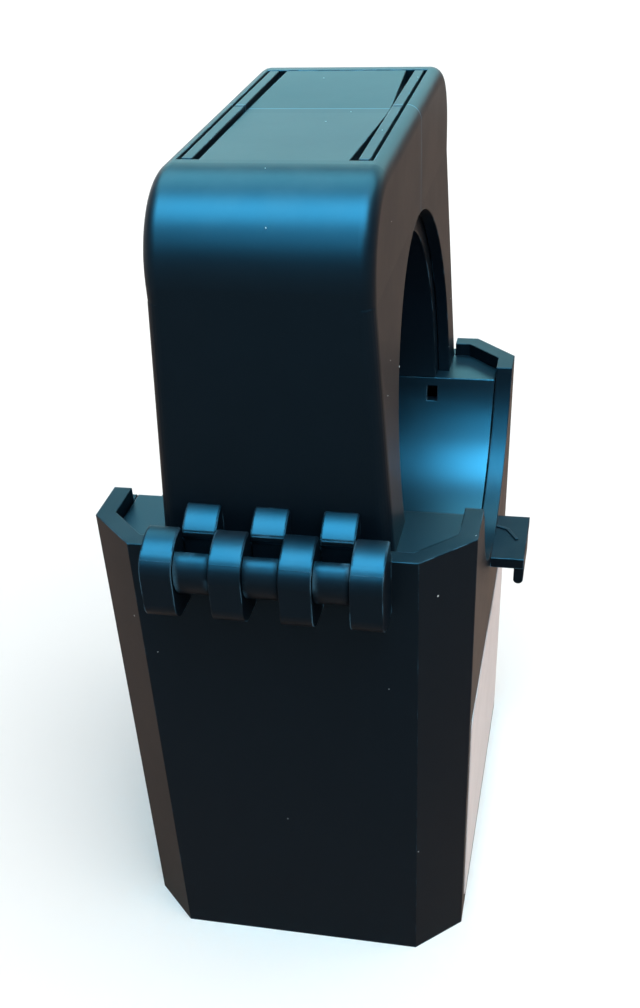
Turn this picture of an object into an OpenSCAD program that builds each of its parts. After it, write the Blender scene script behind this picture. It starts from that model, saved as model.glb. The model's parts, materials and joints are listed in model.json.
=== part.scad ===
// Split-core current transformer with a hinged arch.
// X runs along the conductor, Z up, and the hinge is on the -Y side.
// The origin is the centre of the conductor window.

/* [Window] */
// Radius of the conductor window
win_r = 18; // [16:0.5:18.4]
// Thickness of the moulded wall round the window
liner_t = 1.2; // [1:0.1:1.5]

/* [Core] */
// Build-up of the core's strip
core_t = 4.8; // [4:0.1:5.5]
// Strip width of the core
core_x = 17; // [14:0.5:20]
// Outer corner radius of the core
core_corner_r = 7; // [6:0.5:8]
// Gap between the window wall and the latch-side leg
core_far_gap = 0.2; // [0.1:0.1:0.5]
// Gap between the window wall and the hinge-side leg
core_near_gap = 1.6; // [1:0.1:2]
// Gap between the window wall and the upper yoke
yoke_gap = 4.9; // [3:0.1:6]
// Clearance round the core
core_clear = 0.15; // [0.1:0.05:0.2]

/* [Lower case] */
// Length of the lower case along the conductor
case_x = 41; // [38:1:50]
// Gap between the hinge-side wall and the arch
rim_gap = 0.5; // [0.3:0.1:0.8]
// Stand of the latch-side wall beyond the arch
far_stand = 0.5; // [0.4:0.1:0.8]
// Height from the base to the rim
case_h = 58; // [57:1:70]
// Depth of the rim below the window centre
rim_below = 3.5; // [3:0.25:4.5]
// Side of the cut corner
corner_cut = 5.3; // [3:0.1:6]
// Wall thickness of the lower case
case_wall = 2; // [1.6:0.1:2.2]
// Depth of the deck below the rim
deck_drop = 1.5; // [1:0.1:2]
// Thickness of the deck
deck_t = 2; // [1.5:0.1:3]
// Step in the end walls' rim on the hinge side of the window
rim_step = 0.9; // [0.4:0.1:2]
// Seam between the saddle cover and the case
seam = 0.15; // [0.1:0.05:0.3]

/* [Arch] */
// Slack between the core and the arch's end walls
side_slack = 0.8; // [0.5:0.1:1]
// Slack between the core and the hinge-side wall
near_slack = 0.6; // [0.3:0.1:1]
// Slack between the core and the latch-side wall
far_slack = 0.8; // [0.5:0.1:1.2]
// Radius of the hinge-side top corner
near_corner_r = 8.5; // [5:0.5:10]
// Radius of the latch-side top corner
far_corner_r = 7.5; // [5:0.5:10]
// Rounding of the long outer edges
arch_edge_r = 1.5; // [0.6:0.1:2]
// Slope of the arch's sides below its round corners, in degrees
arch_draft = 3.5; // [1:0.1:4]
// Stand of the opening in the arch's sides round the window
opening_stand = 2.2; // [1.4:0.1:2.6]
// Wall thickness of the arch
arch_wall = 1.4; // [1:0.1:1.8]
// Height of the foot plates that close the legs
foot_t = 1.4; // [1:0.1:2]

/* [Spring tongue] */
// Width of the slot on each side of the tongue
tongue_slot = 0.8; // [0.4:0.1:1]
// Width of the bar between the two slots
tongue_bar = 1; // [0.6:0.1:1.2]
// Width of the thin outer slot
rim_slot = 0.4; // [0.3:0.05:0.5]
// From the hinge-side corner's end to the tongue's root
root_margin = 1; // [0.5:0.1:3]
// From the latch-side corner's end to the tongue's tip
tip_margin = 0.7; // [0.5:0.1:3]
// Gap at the tongue's free end
tip_gap = 0.4; // [0.3:0.05:0.6]
// Width of the slot at the tongue's valley
valley_slot = 0.3; // [0.2:0.05:0.6]
// Width of the slot at the tongue's free end
tip_slot = 1; // [0.6:0.1:1.2]
// Dip of the tongue at its valley
tongue_dip = 0.4; // [0.3:0.1:1]
// Thickness of the tongue
tongue_t = 1.2; // [0.8:0.1:1.4]
// Width of the nick across each bar at the valley
nick = 0.2; // [0.1:0.05:0.4]
// Place of the valley, measured towards the latch
valley_y = 1.6; // [0:0.1:4]

/* [Hinge] */
// Radius of the hinge pin
pin_r = 1; // [0.8:0.05:1.2]
// From the hinge-side wall to the pin's axis
pin_out = 2; // [1.8:0.1:2.5]
// Depth of the pin's axis below the rim
pin_below = 1; // [0.8:0.1:1.4]
// Radius of the hooks
hook_r = 2.7; // [2.3:0.1:2.8]
// Radius of the knuckles
knuckle_r = 2.9; // [2.7:0.1:3.3]
// Width of a knuckle
knuckle_x = 3.35; // [2.8:0.05:3.5]
// Width of a hook
hook_x = 3.55; // [3:0.05:3.6]
// Gap between a knuckle and a hook
comb_gap = 0.12; // [0.05:0.01:0.3]
// Number of hooks
hooks = 3; // [1:1:3]
// Running clearance round the pin
pin_clear = 0.05; // [0.02:0.01:0.1]
// Length of the knuckles below the pin's axis
knuckle_h = 5.1; // [4:0.1:8]
// Rounding of a knuckle's lower front edge
toe_r = 2; // [0.5:0.1:2.5]
// Plastic left over the pin's blind end
pin_cap = 0.8; // [0.5:0.1:1.5]
// Front of a hook's mouth, measured from the pin's axis
mouth_y = 1.15; // [1.1:0.05:1.4]
// Height of the hook shoulders above the rim
shoulder_h = 2.65; // [2:0.05:4]
// Stand of the hook shoulders beyond the hinge-side wall
shoulder_out = 0.3; // [0.1:0.1:0.6]
// Rounding of the hook shoulders
shoulder_r = 0.9; // [0.5:0.1:1.2]

/* [Latch] */
// Width of the latch arm
latch_x = 10; // [8:0.5:12]
// Thickness of the latch arm
latch_t = 1.3; // [1:0.1:1.4]
// Length of the latch arm below the deck
latch_h = 9; // [8:0.5:12]
// Width of the catch nub
nub_x = 5; // [4:0.5:6]
// Height of the catch nub
nub_h = 1.4; // [1:0.1:1.6]
// Depth of the catch
nub_t = 0.8; // [0.5:0.1:1]
// Clearance round the latch arm
latch_clear = 0.15; // [0.1:0.05:0.3]

/* [Tie lugs] */
// Width of a tie lug across the wall
lug_y = 10.3; // [6:0.1:12]
// Place of the lugs' middle, measured towards the latch
lug_mid = 0.6; // [0:0.1:1.5]
// Reach of a tie lug from the wall
lug_x = 4; // [3:0.25:6]
// Thickness of a tie lug
lug_t = 1.3; // [1:0.1:2]
// Drop of the lug's lip
lip_h = 3; // [2:0.25:4]
// Thickness of the lug's lip
lip_t = 1.2; // [0.8:0.1:1.6]
// Width of the lip
lip_y = 7.5; // [5:0.5:9]

/* [Coil] */
// Wall thickness of the bobbin
bobbin_t = 1; // [0.8:0.1:1.2]
// Thickness of the winding
coil_t = 5.5; // [3:0.25:5.5]
// Thickness of the insulating tape
tape_t = 0.3; // [0.2:0.05:0.4]
// Stand of the flanges above the tape
flange_over = 0.7; // [0.3:0.1:0.8]
// Thickness of a flange
flange_t = 1.2; // [1:0.1:1.6]
// Gap between the window wall and the coil
coil_gap = 0.6; // [0.3:0.1:1]
// Diameter of the leads
lead_d = 1.6; // [1:0.1:2]

/* [Terminals] */
// Width of one terminal pocket
pocket_x = 12.4; // [11:0.2:13]
// Height of the terminal pocket
pocket_h = 13.5; // [11:0.5:15]
// Depth of the terminal pocket
pocket_d = 8.5; // [8:0.25:10]
// Wall between the pocket and the inside
pocket_wall = 1.5; // [1.2:0.1:2]
// Height of the pocket above the base
pocket_z = 4; // [3:0.5:8]
// Side of the terminal plate
plate_w = 9; // [8:0.5:10]
// Thickness of the terminal plate
plate_t = 1.2; // [0.8:0.1:1.6]
// Radius of the threaded bush
bush_r = 3; // [2.5:0.1:3.5]
// Radius of the screw's shank
screw_r = 1.65; // [1.4:0.05:2]
// Radius of the screw's head
head_r = 3.5; // [3:0.1:4]
// Height of the screw's head
head_h = 2.4; // [2:0.1:3]
// Side of the square wire clamp
washer_w = 8; // [7:0.5:9]
// Thickness of the square wire clamp
washer_t = 1; // [0.8:0.1:1.4]

/* [Hidden] */
$fn = 64;

eps = 0.01;                 // overlap of joined solids
through = 200;              // longer than any piece
fit = 0.1;                  // gap between moulded pieces that push together

liner_r = win_r + liner_t;
core_near = liner_r + core_near_gap + core_t;       // outer faces of the core's legs
core_far = liner_r + core_far_gap + core_t;
core_top = liner_r + yoke_gap + core_t;             // top of the upper yoke

arch_near = core_near + near_slack + arch_wall;
arch_far = core_far + far_slack + arch_wall;
arch_top = core_top + tongue_t + tongue_dip;
arch_in_x = core_x + 2*side_slack;
arch_x = arch_in_x + 2*arch_wall;
draft_z = arch_top - near_corner_r - 1.5;           // the arch's sides slope below here
opening_r = win_r + opening_stand;

rim_z = -rim_below;
deck_z = rim_z - deck_drop;
base_z = rim_z - case_h;
floor_z = base_z + case_wall;
case_near = arch_near + rim_gap + case_wall;
case_far = arch_far + far_stand;
case_in_x = case_x - 2*case_wall;
case_in_near = case_near - case_wall;
case_in_far = case_far - case_wall;
rim_end = sqrt(win_r*win_r - rim_z*rim_z);          // where the window meets the rim

pin_y = -case_near - pin_out;
pin_z = rim_z - pin_below;
pitch = hook_x + knuckle_x + 2*comb_gap;
comb_x = hooks*pitch + knuckle_x;

slot_end = arch_x/2 - arch_edge_r;      // outer edge of the thin outer slot
bar_side = slot_end - rim_slot;
tongue_side = bar_side - tongue_bar;
tongue_root = arch_near - near_corner_r - root_margin;
tongue_tip = arch_far - far_corner_r - tip_margin;

flange_up = core_t/2 + core_clear + bobbin_t + coil_t + tape_t + flange_over;
flange_side = core_x/2 + core_clear + bobbin_t + coil_t + tape_t + flange_over;
yoke_z = -liner_r - coil_gap - flange_up;       // middle of the lower yoke
core_in_r = core_corner_r - core_t;
bobbin_near = core_near - core_t - core_in_r;
bobbin_far = core_far - core_t - core_in_r;
foot_x = arch_x + 2*(draft_z - deck_z)*tan(arch_draft);     // width of the arch at the deck
flange_bottom = yoke_z - flange_up;

pocket_back = case_far - pocket_d;
pocket_mid_z = base_z + pocket_z + pocket_h/2;
divider = 1.6;              // wall between the two terminal pockets
term_x = (pocket_x + divider)/2;
washer_y = pocket_back + plate_t;
head_y = washer_y + washer_t;
bush_y = pocket_back - pocket_wall - 1.4;

// ---- helpers -------------------------------------------------------------

// Extrudes an outline drawn in Y and Z along X, centred on the YZ plane.
module along_x(length) {
    rotate([90, 0, 90]) linear_extrude(length, center = true) children();
}

// Extrudes an outline drawn in X and Z along Y, from y0 to y1.
module along_y(y0, y1) {
    translate([0, y1, 0]) rotate([90, 0, 0]) linear_extrude(y1 - y0) children();
}

// A box from its two corners.
module span(low, high) {
    translate(low) cube(high - low);
}

// A cylinder along X, centred on x.
module rod_x(r, length, x = 0) {
    translate([x, 0, 0]) rotate([0, 90, 0]) cylinder(h = length, r = r, center = true);
}

// A cylinder along Y, from y0 to y1.
module rod_y(r, y0, y1) {
    translate([0, y1, 0]) rotate([90, 0, 0]) cylinder(h = y1 - y0, r = r);
}

// Rectangle with round corners, centred.
module round_rect(w, h, r) {
    square([w - 2*r, h], center = true);
    square([w, h - 2*r], center = true);
    for (sx = [-1, 1], sy = [-1, 1])
        translate([sx*(w/2 - r), sy*(h/2 - r)]) circle(r);
}

// Both sides of the plane X = 0.
module both_x() {
    children();
    mirror([1, 0, 0]) children();
}

// Plan of the lower case, inset by a distance.
module case_plan(inset = 0) {
    x = case_x/2 - inset;
    y0 = -case_near + inset;
    y1 = case_far - inset;
    c = corner_cut - inset*(2 - sqrt(2));
    polygon([[-x + c, y0], [x - c, y0], [x, y0 + c], [x, y1 - c],
             [x - c, y1], [-x + c, y1], [-x, y1 - c], [-x, y0 + c]]);
}

// Position of hook number i, and of knuckle number i.
function hook_at(i) = (i - (hooks - 1)/2)*pitch;
function knuckle_at(i) = (i - hooks/2)*pitch;

// Side view of the arch's outside, inset by a distance, down to z0.
module arch_side(inset, z0) {
    y0 = -arch_near + inset;
    y1 = arch_far - inset;
    z1 = arch_top - inset;
    rn = near_corner_r - inset;
    rf = far_corner_r - inset;
    translate([y0 + rn, z1 - rn]) circle(rn);
    translate([y1 - rf, z1 - rf]) circle(rf);
    polygon([[y0, z0], [y1, z0], [y1, z1 - rf], [y1 - rf, z1], [y0 + rn, z1], [y0, z1 - rn]]);
}

// Inside of the arch, inset by a distance from its outside, down to z0.
module arch_inside(inset, z0) {
    z = draft_z - inset*tan(arch_draft/2);
    x1 = arch_x/2 - inset;
    x0 = x1 + (z - z0)*tan(arch_draft);
    along_x(2*x1) arch_side(inset, draft_z - 1);
    along_y(-arch_near + inset, arch_far - inset)
        polygon([[-x0, z0], [x0, z0], [x1, z], [-x1, z]]);
}

// U core standing on its pole faces at z = 0, with round outer corners.
module u_core(height) {
    along_x(core_x) difference() {
        core_outline(0, 0, height);
        core_outline(core_t, -1, height - core_t);
    }
}

// Side view of the strip's outer or inner edge, inset by a distance.
module core_outline(inset, foot, top) {
    y0 = -core_near + inset;
    y1 = core_far - inset;
    r = core_corner_r - inset;
    translate([y0 + r, top - r]) circle(r);
    translate([y1 - r, top - r]) circle(r);
    polygon([[y0, foot], [y1, foot], [y1, top - r], [y1 - r, top],
             [y0 + r, top], [y0, top - r]]);
}

// ---- lower half ----------------------------------------------------------

// Knuckle seen from its end, its front running straight down to a round toe.
module knuckle_side() {
    foot_z = pin_z - knuckle_h;
    wall_y = -case_near + eps;
    front = pin_y - knuckle_r;
    translate([pin_y, pin_z]) circle(knuckle_r);
    translate([front + toe_r, foot_z + toe_r]) circle(toe_r);
    polygon([[wall_y, pin_z + knuckle_r*0.55], [pin_y, pin_z], [front, pin_z],
             [front, foot_z + toe_r], [front + toe_r, foot_z], [wall_y, foot_z]]);
}

module knuckles() {
    for (i = [0 : hooks])
        translate([knuckle_at(i), 0, 0]) along_x(knuckle_x) knuckle_side();
}

// Room for the hooks in the rim of the hinge-side wall.
module hook_notches() {
    for (i = [0 : hooks - 1]) translate([hook_at(i), 0, 0]) {
        w = hook_x + 2*comb_gap;
        span([-w/2, -case_near - 1, deck_z - fit], [w/2, -case_in_near + eps, rim_z + 1]);
        translate([0, pin_y, pin_z]) rod_x(hook_r + 0.3, w);
    }
}

// Lug with a turned-down lip, level with the bottom of the window.
module tie_lug() {
    x0 = case_x/2 - eps;
    x1 = case_x/2 + lug_x;
    top = -win_r;
    lip_z = -lip_h - lug_t + lip_t/2;
    translate([0, lug_mid, top]) {
        span([x0, -lug_y/2, -lug_t], [x1, lug_y/2, 0]);
        span([x1 - lip_t, -lip_y/2, lip_z], [x1, lip_y/2, -eps]);
        translate([x1 - lip_t/2, 0, lip_z]) rod_y(lip_t/2, -lip_y/2, lip_y/2);
    }
}

// Recess in the latch-side wall for the latch arm.
latch_in_y = case_far - latch_t - latch_clear;
latch_bottom = deck_z - latch_h;
recess_half_x = latch_x/2 + 2*latch_clear;
nub_top = latch_bottom + 1.2 + latch_clear + nub_h;

module latch_recess() {
    span([-recess_half_x, latch_in_y, latch_bottom - 1],
         [recess_half_x, case_far + 1, rim_z + 1]);
}

// Wall behind the recess, as thick as the core leaves room for.
module latch_backing() {
    span([-recess_half_x - case_wall, core_far + core_clear, latch_bottom - 1 - case_wall],
         [recess_half_x + case_wall, case_far - eps, deck_z - deck_t - fit]);
}

// Nub with a sloped top and a square underside.
module catch_nub() {
    along_x(nub_x) polygon([
        [latch_in_y - eps, nub_top - nub_h], [latch_in_y + nub_t, nub_top - nub_h],
        [latch_in_y + nub_t, nub_top - nub_h*0.6], [latch_in_y - eps, nub_top]]);
}

// Step in the end walls' rim, down to the deck.
module rim_steps() {
    span([-through/2, -rim_end - rim_step, deck_z], [through/2, 0, rim_z + 1]);
}

// Clear notch in the latch-side rim for the arch's leg.
module leg_notch() {
    w = foot_x + 4*fit;
    span([-w/2, case_in_far - eps, deck_z], [w/2, case_far + 1, rim_z + 1]);
}

module pocket_room() {
    both_x() span([divider/2, pocket_back, base_z + pocket_z],
                  [divider/2 + pocket_x, case_far + 1, base_z + pocket_z + pocket_h]);
}

module pocket_walls() {
    x = divider/2 + pocket_x + pocket_wall;
    span([-x, pocket_back - pocket_wall, floor_z - eps],
         [x, case_in_far + eps, base_z + pocket_z + pocket_h + pocket_wall]);
}

// Posts on the floor that carry the bobbin's flanges.
post_x0 = term_x + bush_r + 0.4;
post_x1 = post_x0 + 3.6;
post_t = 3.4;
post_grip = flange_over - 0.2;      // depth of the flange in the post's slot

module bobbin_posts() {
    for (y = [-bobbin_near + flange_t/2, bobbin_far - flange_t/2]) both_x() difference() {
        span([post_x0, y - post_t/2, floor_z - eps],
             [post_x1, y + post_t/2, flange_bottom + post_grip]);
        span([post_x0 - 1, y - flange_t/2 - fit, flange_bottom],
             [post_x1 + 1, y + flange_t/2 + fit, flange_bottom + post_grip + 1]);
    }
}

// Ledges that carry the saddle cover's edge, open where the core's legs pass.
ledge_h = 3;
ledge_t = 0.8;

module cover_ledge() {
    ledge_z = deck_z - deck_t - ledge_h;
    gap = core_x/2 + 1;
    difference() {
        translate([0, 0, ledge_z]) linear_extrude(ledge_h - eps) case_plan(case_wall - eps);
        translate([0, 0, ledge_z - 1]) linear_extrude(ledge_h + 2) case_plan(case_wall + ledge_t);
        span([-gap, -through/2, ledge_z - 1], [gap, through/2, deck_z]);
        rod_x(liner_r + seam, case_in_x);
    }
}

module lower_case() {
    color("#15191d") difference() {
        union() {
            difference() {
                translate([0, 0, base_z]) linear_extrude(case_h) case_plan();
                translate([0, 0, floor_z]) linear_extrude(case_h) case_plan(case_wall);
            }
            knuckles();
            both_x() tie_lug();
            latch_backing();
            pocket_walls();
            bobbin_posts();
            cover_ledge();
        }
        rod_x(win_r, through);
        rim_steps();
        hook_notches();
        leg_notch();
        latch_recess();
        pocket_room();
        for (sx = [-1, 1]) translate([sx*term_x, 0, pocket_mid_z])
            rod_y(bush_r + 0.05, pocket_back - pocket_wall - 1, pocket_back + 1);
        translate([-1, 0, 0]) pin_rod(comb_x - pin_cap + 2);
    }
    color("#15191d") catch_nub();
}

// Lid of the lower case: two decks and the half-round channel between them.
module saddle_cover() {
    color("#171c20") difference() {
        union() {
            translate([0, 0, deck_z - deck_t]) linear_extrude(deck_t) case_plan(case_wall + seam);
            intersection() {
                rod_x(liner_r, case_in_x - 2*seam);
                span([-through/2, -through/2, -through/2],
                     [through/2, through/2, deck_z - eps]);
            }
        }
        rod_x(win_r, through);
        pole_windows(deck_z - deck_t - 1, deck_z + 1);
        snap_windows();
    }
}

// Holes for the core's legs, from z0 to z1.
module pole_windows(z0, z1) {
    x = core_x/2 + core_clear;
    span([-x, -core_near - core_clear, z0], [x, -core_near + core_t + core_clear, z1]);
    span([-x, core_far - core_t - core_clear, z0], [x, core_far + core_clear, z1]);
}

// Small square windows in the channel's latch-side wall.
snap_x = 10.4;
snap_w = 1.35;
snap_h = 1.7;
snap_below = 1;             // top of the window below the deck

module snap_windows() {
    both_x() span([snap_x - snap_w/2, 0, deck_z - snap_below - snap_h],
                  [snap_x + snap_w/2, liner_r + 1, deck_z - snap_below]);
}

// Rod on the hinge's axis, its middle moved off the blind end.
module pin_rod(length) {
    translate([-pin_cap/2, pin_y, pin_z]) rod_x(pin_r, length);
}

module hinge_pin() {
    color("#b8bcc0") pin_rod(comb_x - pin_cap);
}

module lower_core() {
    color("#6f7377") translate([0, 0, deck_z]) mirror([0, 0, 1])
        u_core(deck_z - yoke_z + core_t/2);
}

// Outline of a layer round the yoke, at a distance from the core.
module layer(gap, r) {
    round_rect(core_x + 2*gap, core_t + 2*gap, r);
}

module coil_bobbin() {
    tube = core_clear + bobbin_t;
    color("#d8d4c4") translate([0, 0, yoke_z]) difference() {
        union() {
            along_y(-bobbin_near, bobbin_far) layer(tube, bobbin_t);
            for (y = [-bobbin_near, bobbin_far - flange_t])
                along_y(y, y + flange_t) layer(flange_side - core_x/2, 2);
        }
        along_y(-bobbin_near - 1, bobbin_far + 1)
            square([core_x + 2*core_clear, core_t + 2*core_clear], center = true);
    }
}

// Sleeve round the bobbin between its flanges.
module sleeve(inner, inner_r, outer, outer_r) {
    y0 = -bobbin_near + flange_t;
    y1 = bobbin_far - flange_t;
    translate([0, 0, yoke_z]) difference() {
        along_y(y0, y1) layer(outer, outer_r);
        along_y(y0 - 1, y1 + 1) layer(inner, inner_r);
    }
}

module secondary_winding() {
    tube = core_clear + bobbin_t;
    color("#b4632e") sleeve(tube, bobbin_t, tube + coil_t, coil_t);
}

module winding_tape() {
    coil = core_clear + bobbin_t + coil_t;
    color("#d6b43c") sleeve(coil, coil_t, coil + tape_t, coil_t + tape_t);
}

// Lead that leaves a terminal bush along -Y, bends up and ends at the winding.
module lead() {
    straight = 1.5;
    turn_r = 3;
    y = bush_y - straight;
    coil_z = yoke_z - flange_up + flange_over;
    r = lead_d/2;
    translate([-term_x, 0, pocket_mid_z]) {
        rod_y(r, y, bush_y);
        translate([0, y, turn_r]) rotate([0, -90, 0]) rotate([0, 0, 180]) bend(turn_r, r);
        translate([0, y - turn_r, turn_r]) cylinder(h = coil_z - pocket_mid_z - turn_r, r = r);
    }
}

module start_lead() { color("#e8e8e0") lead(); }
module finish_lead() { color("#202020") mirror([1, 0, 0]) lead(); }

// Brass plate in the pocket with a bush through the pocket's back wall.
module terminal_insert(side) {
    color("#c9a552") translate([side*term_x, 0, pocket_mid_z]) difference() {
        union() {
            along_y(pocket_back, pocket_back + plate_t) round_rect(plate_w, plate_w, 0.8);
            rod_y(bush_r, bush_y, pocket_back + eps);
        }
        rod_y(screw_r + 0.05, bush_y + 0.8, head_y);
    }
}

module terminal_washer(side) {
    color("#c4c8cc") translate([side*term_x, 0, pocket_mid_z]) difference() {
        along_y(washer_y, head_y) round_rect(washer_w, washer_w, 0.6);
        rod_y(screw_r + 0.3, washer_y - 1, head_y + 1);
    }
}

module terminal_screw(side) {
    color("#c4c8cc") translate([side*term_x, 0, pocket_mid_z]) difference() {
        union() {
            rod_y(head_r, head_y, head_y + head_h);
            rod_y(screw_r, bush_y + 1.4, head_y + eps);
        }
        for (turn = [0, 90]) rotate([0, turn, 0])
            span([-head_r*0.6, head_y + head_h*0.4, -0.45], [head_r*0.6, head_y + head_h + 1, 0.45]);
    }
}

module terminal_insert_1() { terminal_insert(-1); }
module terminal_insert_2() { terminal_insert(1); }
module terminal_washer_1() { terminal_washer(-1); }
module terminal_washer_2() { terminal_washer(1); }
module terminal_screw_1() { terminal_screw(-1); }
module terminal_screw_2() { terminal_screw(1); }

// ---- upper half ----------------------------------------------------------

// Outside of the arch, with its long edges rounded.
module arch_body() {
    r = arch_edge_r;
    along_x(arch_x - 2*r) arch_side(0, draft_z - 1);
    along_x(arch_x) arch_side(r, draft_z - 1);
    arch_legs(r - 0.1);
    both_x() translate([arch_x/2 - r, 0, 0]) edge_rod(r);
}

// Round rod that follows the arch's outside at the depth of its own radius.
module edge_rod(r) {
    y0 = -arch_near + r;
    y1 = arch_far - r;
    z1 = arch_top - r;
    near_bend = near_corner_r - r;
    far_bend = far_corner_r - r;
    translate([0, 0, z1]) rod_y(r, y0 + near_bend, y1 - far_bend);
    translate([0, y0 + near_bend, z1 - near_bend]) rotate([0, -90, 0]) rotate([0, 0, -90])
        bend(near_bend, r);
    translate([0, y1 - far_bend, z1 - far_bend]) rotate([0, -90, 0]) bend(far_bend, r);
    translate([0, y0, draft_z]) cylinder(h = z1 - near_bend - draft_z, r = r);
    translate([0, y1, draft_z]) cylinder(h = z1 - far_bend - draft_z, r = r);
}

// Legs of the arch, their sides sloping out towards the deck.
module arch_legs(r) {
    x1 = arch_x/2;
    x0 = foot_x/2;
    difference() {
        along_y(-arch_near, arch_far)
            polygon([[-x0, deck_z], [x0, deck_z], [x1, draft_z], [-x1, draft_z]]);
        both_x() {
            translate([x1, -arch_near, draft_z]) leg_corner(r);
            translate([x1, arch_far, draft_z]) mirror([0, 1, 0]) leg_corner(r);
        }
    }
}

// What a leg's corner loses to its rounding, made of flats.
module leg_corner(r) {
    long = (draft_z - deck_z)/cos(arch_draft) + 1;
    rotate([0, -arch_draft, 0]) translate([0, 0, -long]) linear_extrude(long + 1)
        polygon(concat([[-r, -1], [1, -1], [1, r]],
                       [for (t = [0 : 15 : 90]) [r*cos(t) - r, r - r*sin(t)]]));
}

// Quarter turn of a round rod.
module bend(turn_r, r) {
    rotate_extrude(angle = 90) translate([turn_r, 0]) circle(r);
}

// Slots and tongue opening in the arch's top.
module tongue_opening() {
    top = arch_top + 1;
    low = arch_top - arch_wall - tongue_dip - tongue_t;
    groove = arch_top - arch_wall/2;
    y0 = -tongue_root;
    span([-tongue_side, y0, low], [tongue_side, tongue_tip, top]);
    both_x() {
        span([bar_side, y0, groove], [slot_end, tongue_tip, top]);
        span([tongue_side - eps, y0, groove], [slot_end, y0 + rim_slot, top]);
        span([tongue_side - eps, tongue_tip - tip_gap, groove], [slot_end, tongue_tip, top]);
        span([tongue_side - eps, valley_y - nick/2, groove],
             [bar_side + eps, valley_y + nick/2, top]);
    }
}

// Spring tongue: rooted on the hinge side, bowed down to press on the core.
module tongue() {
    tip = tongue_tip - tip_gap;
    root = -tongue_root - eps;
    z = arch_top;
    intersection() {
        along_x(2*tongue_side) polygon([
            [root, z - tongue_t], [valley_y - 1, z - tongue_dip - tongue_t],
            [valley_y + 1, z - tongue_dip - tongue_t], [tip, z - tongue_t],
            [tip, z], [valley_y + 1, z - tongue_dip], [valley_y - 1, z - tongue_dip], [root, z]]);
        translate([0, 0, z - through]) linear_extrude(2*through) tongue_plan(root, tip);
    }
}

// Plan of the tongue, widest at its valley.
module tongue_plan(root, tip) {
    xr = tongue_side - tongue_slot;
    xv = tongue_side - valley_slot;
    xt = tongue_side - tip_slot;
    polygon([[-xr, root], [xr, root], [xv, valley_y - 1], [xv, valley_y + 1], [xt, tip],
             [-xt, tip], [-xv, valley_y + 1], [-xv, valley_y - 1]]);
}

// Hook seen from its end: open at the top, behind a round shoulder.
module hook_side() {
    wall = -case_near;
    front = wall - shoulder_out;
    top = rim_z + shoulder_h;
    foot = deck_z + fit;
    r = shoulder_r;
    difference() {
        union() {
            translate([pin_y, pin_z]) circle(hook_r);
            polygon([[wall, foot], [-arch_near + eps, foot], [-arch_near + eps, top - r], [wall, top - r]]);
        }
        translate([pin_y, pin_z]) circle(pin_r + pin_clear);
        translate([pin_y - mouth_y, pin_z]) square([pin_out + mouth_y, hook_r + 1]);
    }
    translate([front + r, top - r]) circle(r);
    polygon([[front, top - r], [-arch_near + eps, top - r], [-arch_near + eps, top], [front + r, top]]);
}

// Latch arm on the far leg, with a window for the catch nub.
module latch_arm() {
    y0 = latch_in_y + latch_clear;
    window_half_x = nub_x/2 + latch_clear;
    difference() {
        along_x(latch_x) polygon([
            [y0, latch_bottom], [case_far, latch_bottom + 0.6], [case_far, rim_z + 1],
            [arch_far - eps, rim_z + 3], [y0, rim_z + 3]]);
        span([-window_half_x, y0 - 1, latch_bottom + 1.2],
             [window_half_x, case_far + 1, nub_top + latch_clear]);
    }
}

module arch_cover() {
    color("#15191d") {
        difference() {
            arch_body();
            arch_inside(arch_wall, deck_z - 1);
            rod_x(opening_r, through);
            tongue_opening();
        }
        tongue();
        for (i = [0 : hooks - 1])
            translate([hook_at(i), 0, 0]) along_x(hook_x) hook_side();
        latch_arm();
    }
}

// Inner wall of the arch with foot plates round the pole faces.
rib_y = 9;
rib_t = 1.4;

module arch_liner() {
    w = foot_x;
    core_in_z = core_top - core_t;
    difference() {
        color("#171c20") intersection() {
            union() {
                rod_x(liner_r, w);
                side_flanges(w);
                for (s = [-1, 1])
                    span([-w/2, s*rib_y - rib_t/2, 0], [w/2, s*rib_y + rib_t/2, core_in_z]);
                span([-w/2, -arch_near, deck_z], [w/2, arch_far, deck_z + foot_t]);
            }
            arch_inside(arch_wall + fit, deck_z);
        }
        rod_x(win_r, through);
        pole_windows(deck_z - 1, deck_z + foot_t + 1);
    }
}

// Rings that close the opening in the arch's sides, one on each side of the core.
module side_flanges(w) {
    gap = core_x/2 + core_clear;
    difference() {
        rod_x(opening_r + 1.8, w);
        span([-gap, -through/2, -through/2], [gap, through/2, through/2]);
    }
}

module upper_core() {
    color("#6f7377") translate([0, 0, deck_z]) u_core(core_top - deck_z);
}

lower_case();
saddle_cover();
hinge_pin();
lower_core();
coil_bobbin();
secondary_winding();
winding_tape();
start_lead();
finish_lead();
terminal_insert_1();
terminal_insert_2();
terminal_washer_1();
terminal_washer_2();
terminal_screw_1();
terminal_screw_2();
arch_cover();
arch_liner();
upper_core();
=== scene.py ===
"""Finishes, label, marks and studio for the split-core current transformer.

Everything is in metres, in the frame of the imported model: the origin is the
centre of the conductor window, X runs along the conductor and Z is up.
"""

import json
import math

import bmesh
import bpy
from bpy.props import FloatProperty, FloatVectorProperty, IntProperty, PointerProperty
from mathutils import Matrix, Vector
from mathutils.bvhtree import BVHTree


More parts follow.
